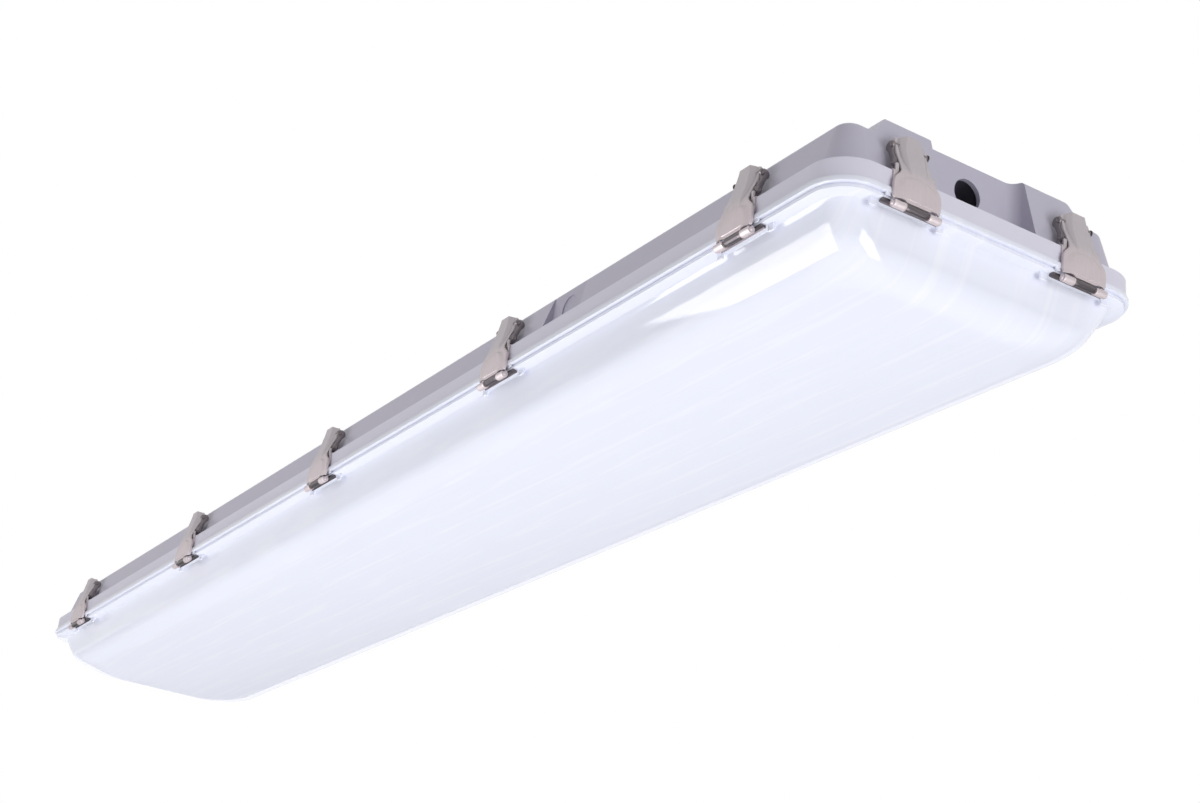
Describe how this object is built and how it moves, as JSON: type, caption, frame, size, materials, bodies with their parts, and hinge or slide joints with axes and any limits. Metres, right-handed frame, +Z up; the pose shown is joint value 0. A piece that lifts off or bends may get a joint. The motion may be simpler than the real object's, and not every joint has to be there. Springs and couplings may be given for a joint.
{
  "type": "vapor tight light fixture",
  "caption": "Sealed linear ceiling light: a drafted grey housing with a raised deck, a frosted bowl lens and over-centre toggle latches along the rim.",
  "frame": {"origin": "middle of the ceiling plane, on top of the two mounting brackets", "axes": "+X along the fixture towards the end with the open cable entry, +Z up into the ceiling; the lens looks down along -Z"},
  "size_m": [1.3082, 0.2462, 0.1057],
  "materials": {
    "housing_grey": "moulded light grey, fine satin grain",
    "gasket_foam": "poured foam, matte",
    "lens_frosted": "frosted, glossy outside, faint linear prisms",
    "latch_steel": "brushed stainless",
    "tray_white": "white reflector paint",
    "screw_steel": "zinc plated",
    "board_white": "white solder mask",
    "led_phosphor": "yellow phosphor",
    "driver_white": "white potted case",
    "terminal_plastic": "moulded",
    "wire_jacket": "flexible insulation",
    "ground_brass": "plain",
    "bracket_steel": "stainless spring sheet"
  },
  "bodies": {
    "fixture": {"housing": "housing_grey", "gasket": "gasket_foam", "lens": "lens_frosted", "latch_base_clips": "latch_steel", "gear_tray": "tray_white", "tray_screws": "screw_steel", "led_boards": "board_white", "led_packages": "led_phosphor", "board_screws": "screw_steel", "led_driver": "driver_white", "driver_screws": "screw_steel", "terminal_block": "terminal_plastic", "wiring": "wire_jacket", "ground_screw": "ground_brass", "mounting_bracket_left": "bracket_steel", "mounting_bracket_right": "bracket_steel"},
    "latch_01_link": {"latch_01_link": "latch_steel"},
    "latch_01_lever": {"latch_01_lever": "latch_steel"},
    "latch_01_claw": {"latch_01_claw": "latch_steel"},
    "latch_02_link": {"latch_02_link": "latch_steel"},
    "latch_02_lever": {"latch_02_lever": "latch_steel"},
    "latch_02_claw": {"latch_02_claw": "latch_steel"},
    "latch_03_link": {"latch_03_link": "latch_steel"},
    "latch_03_lever": {"latch_03_lever": "latch_steel"},
    "latch_03_claw": {"latch_03_claw": "latch_steel"},
    "latch_04_link": {"latch_04_link": "latch_steel"},
    "latch_04_lever": {"latch_04_lever": "latch_steel"},
    "latch_04_claw": {"latch_04_claw": "latch_steel"},
    "latch_05_link": {"latch_05_link": "latch_steel"},
    "latch_05_lever": {"latch_05_lever": "latch_steel"},
    "latch_05_claw": {"latch_05_claw": "latch_steel"},
    "latch_06_link": {"latch_06_link": "latch_steel"},
    "latch_06_lever": {"latch_06_lever": "latch_steel"},
    "latch_06_claw": {"latch_06_claw": "latch_steel"},
    "latch_07_link": {"latch_07_link": "latch_steel"},
    "latch_07_lever": {"latch_07_lever": "latch_steel"},
    "latch_07_claw": {"latch_07_claw": "latch_steel"},
    "latch_08_link": {"latch_08_link": "latch_steel"},
    "latch_08_lever": {"latch_08_lever": "latch_steel"},
    "latch_08_claw": {"latch_08_claw": "latch_steel"},
    "latch_09_link": {"latch_09_link": "latch_steel"},
    "latch_09_lever": {"latch_09_lever": "latch_steel"},
    "latch_09_claw": {"latch_09_claw": "latch_steel"},
    "latch_10_link": {"latch_10_link": "latch_steel"},
    "latch_10_lever": {"latch_10_lever": "latch_steel"},
    "latch_10_claw": {"latch_10_claw": "latch_steel"},
    "latch_11_link": {"latch_11_link": "latch_steel"},
    "latch_11_lever": {"latch_11_lever": "latch_steel"},
    "latch_11_claw": {"latch_11_claw": "latch_steel"},
    "latch_12_link": {"latch_12_link": "latch_steel"},
    "latch_12_lever": {"latch_12_lever": "latch_steel"},
    "latch_12_claw": {"latch_12_claw": "latch_steel"},
    "latch_13_link": {"latch_13_link": "latch_steel"},
    "latch_13_lever": {"latch_13_lever": "latch_steel"},
    "latch_13_claw": {"latch_13_claw": "latch_steel"},
    "latch_14_link": {"latch_14_link": "latch_steel"},
    "latch_14_lever": {"latch_14_lever": "latch_steel"},
    "latch_14_claw": {"latch_14_claw": "latch_steel"}
  },
  "joints": [
    {"name": "latch_01_link_hinge", "type": "hinge", "parent": "fixture", "child": "latch_01_link", "pos_m": [-0.645, -0.0645, -0.0442], "axis": [0, -1, 0], "range_deg": [0, 110]},
    {"name": "latch_01_lever_hinge", "type": "hinge", "parent": "latch_01_link", "child": "latch_01_lever", "pos_m": [-0.6435, -0.0645, -0.0317], "axis": [0, -1, 0], "range_deg": [-110, 0]},
    {"name": "latch_01_claw_hinge", "type": "hinge", "parent": "latch_01_lever", "child": "latch_01_claw", "pos_m": [-0.6511, -0.0645, -0.0743], "axis": [0, -1, 0], "range_deg": [-33, 0]},
    {"name": "latch_02_link_hinge", "type": "hinge", "parent": "fixture", "child": "latch_02_link", "pos_m": [-0.645, 0.0645, -0.0442], "axis": [0, -1, 0], "range_deg": [0, 110]},
    {"name": "latch_02_lever_hinge", "type": "hinge", "parent": "latch_02_link", "child": "latch_02_lever", "pos_m": [-0.6435, 0.0645, -0.0317], "axis": [0, -1, 0], "range_deg": [-110, 0]},
    {"name": "latch_02_claw_hinge", "type": "hinge", "parent": "latch_02_lever", "child": "latch_02_claw", "pos_m": [-0.6511, 0.0645, -0.0743], "axis": [0, -1, 0], "range_deg": [-33, 0]},
    {"name": "latch_03_link_hinge", "type": "hinge", "parent": "fixture", "child": "latch_03_link", "pos_m": [-0.556, -0.114, -0.0442], "axis": [1, 0, 0], "range_deg": [0, 110]},
    {"name": "latch_03_lever_hinge", "type": "hinge", "parent": "latch_03_link", "child": "latch_03_lever", "pos_m": [-0.556, -0.1125, -0.0317], "axis": [1, 0, 0], "range_deg": [-110, 0]},
    {"name": "latch_03_claw_hinge", "type": "hinge", "parent": "latch_03_lever", "child": "latch_03_claw", "pos_m": [-0.556, -0.1201, -0.0743], "axis": [1, 0, 0], "range_deg": [-33, 0]},
    {"name": "latch_04_link_hinge", "type": "hinge", "parent": "fixture", "child": "latch_04_link", "pos_m": [-0.278, -0.114, -0.0442], "axis": [1, 0, 0], "range_deg": [0, 110]},
    {"name": "latch_04_lever_hinge", "type": "hinge", "parent": "latch_04_link", "child": "latch_04_lever", "pos_m": [-0.278, -0.1125, -0.0317], "axis": [1, 0, 0], "range_deg": [-110, 0]},
    {"name": "latch_04_claw_hinge", "type": "hinge", "parent": "latch_04_lever", "child": "latch_04_claw", "pos_m": [-0.278, -0.1201, -0.0743], "axis": [1, 0, 0], "range_deg": [-33, 0]},
    {"name": "latch_05_link_hinge", "type": "hinge", "parent": "fixture", "child": "latch_05_link", "pos_m": [0, -0.114, -0.0442], "axis": [1, 0, 0], "range_deg": [0, 110]},
    {"name": "latch_05_lever_hinge", "type": "hinge", "parent": "latch_05_link", "child": "latch_05_lever", "pos_m": [0, -0.1125, -0.0317], "axis": [1, 0, 0], "range_deg": [-110, 0]},
    {"name": "latch_05_claw_hinge", "type": "hinge", "parent": "latch_05_lever", "child": "latch_05_claw", "pos_m": [0, -0.1201, -0.0743], "axis": [1, 0, 0], "range_deg": [-33, 0]},
    {"name": "latch_06_link_hinge", "type": "hinge", "parent": "fixture", "child": "latch_06_link", "pos_m": [0.278, -0.114, -0.0442], "axis": [1, 0, 0], "range_deg": [0, 110]},
    {"name": "latch_06_lever_hinge", "type": "hinge", "parent": "latch_06_link", "child": "latch_06_lever", "pos_m": [0.278, -0.1125, -0.0317], "axis": [1, 0, 0], "range_deg": [-110, 0]},
    {"name": "latch_06_claw_hinge", "type": "hinge", "parent": "latch_06_lever", "child": "latch_06_claw", "pos_m": [0.278, -0.1201, -0.0743], "axis": [1, 0, 0], "range_deg": [-33, 0]},
    {"name": "latch_07_link_hinge", "type": "hinge", "parent": "fixture", "child": "latch_07_link", "pos_m": [0.556, -0.114, -0.0442], "axis": [1, 0, 0], "range_deg": [0, 110]},
    {"name": "latch_07_lever_hinge", "type": "hinge", "parent": "latch_07_link", "child": "latch_07_lever", "pos_m": [0.556, -0.1125, -0.0317], "axis": [1, 0, 0], "range_deg": [-110, 0]},
    {"name": "latch_07_claw_hinge", "type": "hinge", "parent": "latch_07_lever", "child": "latch_07_claw", "pos_m": [0.556, -0.1201, -0.0743], "axis": [1, 0, 0], "range_deg": [-33, 0]},
    {"name": "latch_08_link_hinge", "type": "hinge", "parent": "fixture", "child": "latch_08_link", "pos_m": [0.645, -0.0645, -0.0442], "axis": [0, 1, 0], "range_deg": [0, 110]},
    {"name": "latch_08_lever_hinge", "type": "hinge", "parent": "latch_08_link", "child": "latch_08_lever", "pos_m": [0.6435, -0.0645, -0.0317], "axis": [0, 1, 0], "range_deg": [-110, 0]},
    {"name": "latch_08_claw_hinge", "type": "hinge", "parent": "latch_08_lever", "child": "latch_08_claw", "pos_m": [0.6511, -0.0645, -0.0743], "axis": [0, 1, 0], "range_deg": [-33, 0]},
    {"name": "latch_09_link_hinge", "type": "hinge", "parent": "fixture", "child": "latch_09_link", "pos_m": [0.645, 0.0645, -0.0442], "axis": [0, 1, 0], "range_deg": [0, 110]},
    {"name": "latch_09_lever_hinge", "type": "hinge", "parent": "latch_09_link", "child": "latch_09_lever", "pos_m": [0.6435, 0.0645, -0.0317], "axis": [0, 1, 0], "range_deg": [-110, 0]},
    {"name": "latch_09_claw_hinge", "type": "hinge", "parent": "latch_09_lever", "child": "latch_09_claw", "pos_m": [0.6511, 0.0645, -0.0743], "axis": [0, 1, 0], "range_deg": [-33, 0]},
    {"name": "latch_10_link_hinge", "type": "hinge", "parent": "fixture", "child": "latch_10_link", "pos_m": [-0.556, 0.114, -0.0442], "axis": [-1, 0, 0], "range_deg": [0, 110]},
    {"name": "latch_10_lever_hinge", "type": "hinge", "parent": "latch_10_link", "child": "latch_10_lever", "pos_m": [-0.556, 0.1125, -0.0317], "axis": [-1, 0, 0], "range_deg": [-110, 0]},
    {"name": "latch_10_claw_hinge", "type": "hinge", "parent": "latch_10_lever", "child": "latch_10_claw", "pos_m": [-0.556, 0.1201, -0.0743], "axis": [-1, 0, 0], "range_deg": [-33, 0]},
    {"name": "latch_11_link_hinge", "type": "hinge", "parent": "fixture", "child": "latch_11_link", "pos_m": [-0.278, 0.114, -0.0442], "axis": [-1, 0, 0], "range_deg": [0, 110]},
    {"name": "latch_11_lever_hinge", "type": "hinge", "parent": "latch_11_link", "child": "latch_11_lever", "pos_m": [-0.278, 0.1125, -0.0317], "axis": [-1, 0, 0], "range_deg": [-110, 0]},
    {"name": "latch_11_claw_hinge", "type": "hinge", "parent": "latch_11_lever", "child": "latch_11_claw", "pos_m": [-0.278, 0.1201, -0.0743], "axis": [-1, 0, 0], "range_deg": [-33, 0]},
    {"name": "latch_12_link_hinge", "type": "hinge", "parent": "fixture", "child": "latch_12_link", "pos_m": [0, 0.114, -0.0442], "axis": [-1, 0, 0], "range_deg": [0, 110]},
    {"name": "latch_12_lever_hinge", "type": "hinge", "parent": "latch_12_link", "child": "latch_12_lever", "pos_m": [0, 0.1125, -0.0317], "axis": [-1, 0, 0], "range_deg": [-110, 0]},
    {"name": "latch_12_claw_hinge", "type": "hinge", "parent": "latch_12_lever", "child": "latch_12_claw", "pos_m": [0, 0.1201, -0.0743], "axis": [-1, 0, 0], "range_deg": [-33, 0]},
    {"name": "latch_13_link_hinge", "type": "hinge", "parent": "fixture", "child": "latch_13_link", "pos_m": [0.278, 0.114, -0.0442], "axis": [-1, 0, 0], "range_deg": [0, 110]},
    {"name": "latch_13_lever_hinge", "type": "hinge", "parent": "latch_13_link", "child": "latch_13_lever", "pos_m": [0.278, 0.1125, -0.0317], "axis": [-1, 0, 0], "range_deg": [-110, 0]},
    {"name": "latch_13_claw_hinge", "type": "hinge", "parent": "latch_13_lever", "child": "latch_13_claw", "pos_m": [0.278, 0.1201, -0.0743], "axis": [-1, 0, 0], "range_deg": [-33, 0]},
    {"name": "latch_14_link_hinge", "type": "hinge", "parent": "fixture", "child": "latch_14_link", "pos_m": [0.556, 0.114, -0.0442], "axis": [-1, 0, 0], "range_deg": [0, 110]},
    {"name": "latch_14_lever_hinge", "type": "hinge", "parent": "latch_14_link", "child": "latch_14_lever", "pos_m": [0.556, 0.1125, -0.0317], "axis": [-1, 0, 0], "range_deg": [-110, 0]},
    {"name": "latch_14_claw_hinge", "type": "hinge", "parent": "latch_14_lever", "child": "latch_14_claw", "pos_m": [0.556, 0.1201, -0.0743], "axis": [-1, 0, 0], "range_deg": [-33, 0]}
  ],
  "couplings": [
    {"joint": "latch_01_lever_hinge", "follows": "latch_01_link_hinge", "ratio": -1},
    {"joint": "latch_01_claw_hinge", "follows": "latch_01_link_hinge", "ratio": -0.3},
    {"joint": "latch_02_lever_hinge", "follows": "latch_02_link_hinge", "ratio": -1},
    {"joint": "latch_02_claw_hinge", "follows": "latch_02_link_hinge", "ratio": -0.3},
    {"joint": "latch_03_lever_hinge", "follows": "latch_03_link_hinge", "ratio": -1},
    {"joint": "latch_03_claw_hinge", "follows": "latch_03_link_hinge", "ratio": -0.3},
    {"joint": "latch_04_lever_hinge", "follows": "latch_04_link_hinge", "ratio": -1},
    {"joint": "latch_04_claw_hinge", "follows": "latch_04_link_hinge", "ratio": -0.3},
    {"joint": "latch_05_lever_hinge", "follows": "latch_05_link_hinge", "ratio": -1},
    {"joint": "latch_05_claw_hinge", "follows": "latch_05_link_hinge", "ratio": -0.3},
    {"joint": "latch_06_lever_hinge", "follows": "latch_06_link_hinge", "ratio": -1},
    {"joint": "latch_06_claw_hinge", "follows": "latch_06_link_hinge", "ratio": -0.3},
    {"joint": "latch_07_lever_hinge", "follows": "latch_07_link_hinge", "ratio": -1},
    {"joint": "latch_07_claw_hinge", "follows": "latch_07_link_hinge", "ratio": -0.3},
    {"joint": "latch_08_lever_hinge", "follows": "latch_08_link_hinge", "ratio": -1},
    {"joint": "latch_08_claw_hinge", "follows": "latch_08_link_hinge", "ratio": -0.3},
    {"joint": "latch_09_lever_hinge", "follows": "latch_09_link_hinge", "ratio": -1},
    {"joint": "latch_09_claw_hinge", "follows": "latch_09_link_hinge", "ratio": -0.3},
    {"joint": "latch_10_lever_hinge", "follows": "latch_10_link_hinge", "ratio": -1},
    {"joint": "latch_10_claw_hinge", "follows": "latch_10_link_hinge", "ratio": -0.3},
    {"joint": "latch_11_lever_hinge", "follows": "latch_11_link_hinge", "ratio": -1},
    {"joint": "latch_11_claw_hinge", "follows": "latch_11_link_hinge", "ratio": -0.3},
    {"joint": "latch_12_lever_hinge", "follows": "latch_12_link_hinge", "ratio": -1},
    {"joint": "latch_12_claw_hinge", "follows": "latch_12_link_hinge", "ratio": -0.3},
    {"joint": "latch_13_lever_hinge", "follows": "latch_13_link_hinge", "ratio": -1},
    {"joint": "latch_13_claw_hinge", "follows": "latch_13_link_hinge", "ratio": -0.3},
    {"joint": "latch_14_lever_hinge", "follows": "latch_14_link_hinge", "ratio": -1},
    {"joint": "latch_14_claw_hinge", "follows": "latch_14_link_hinge", "ratio": -0.3}
  ]
}
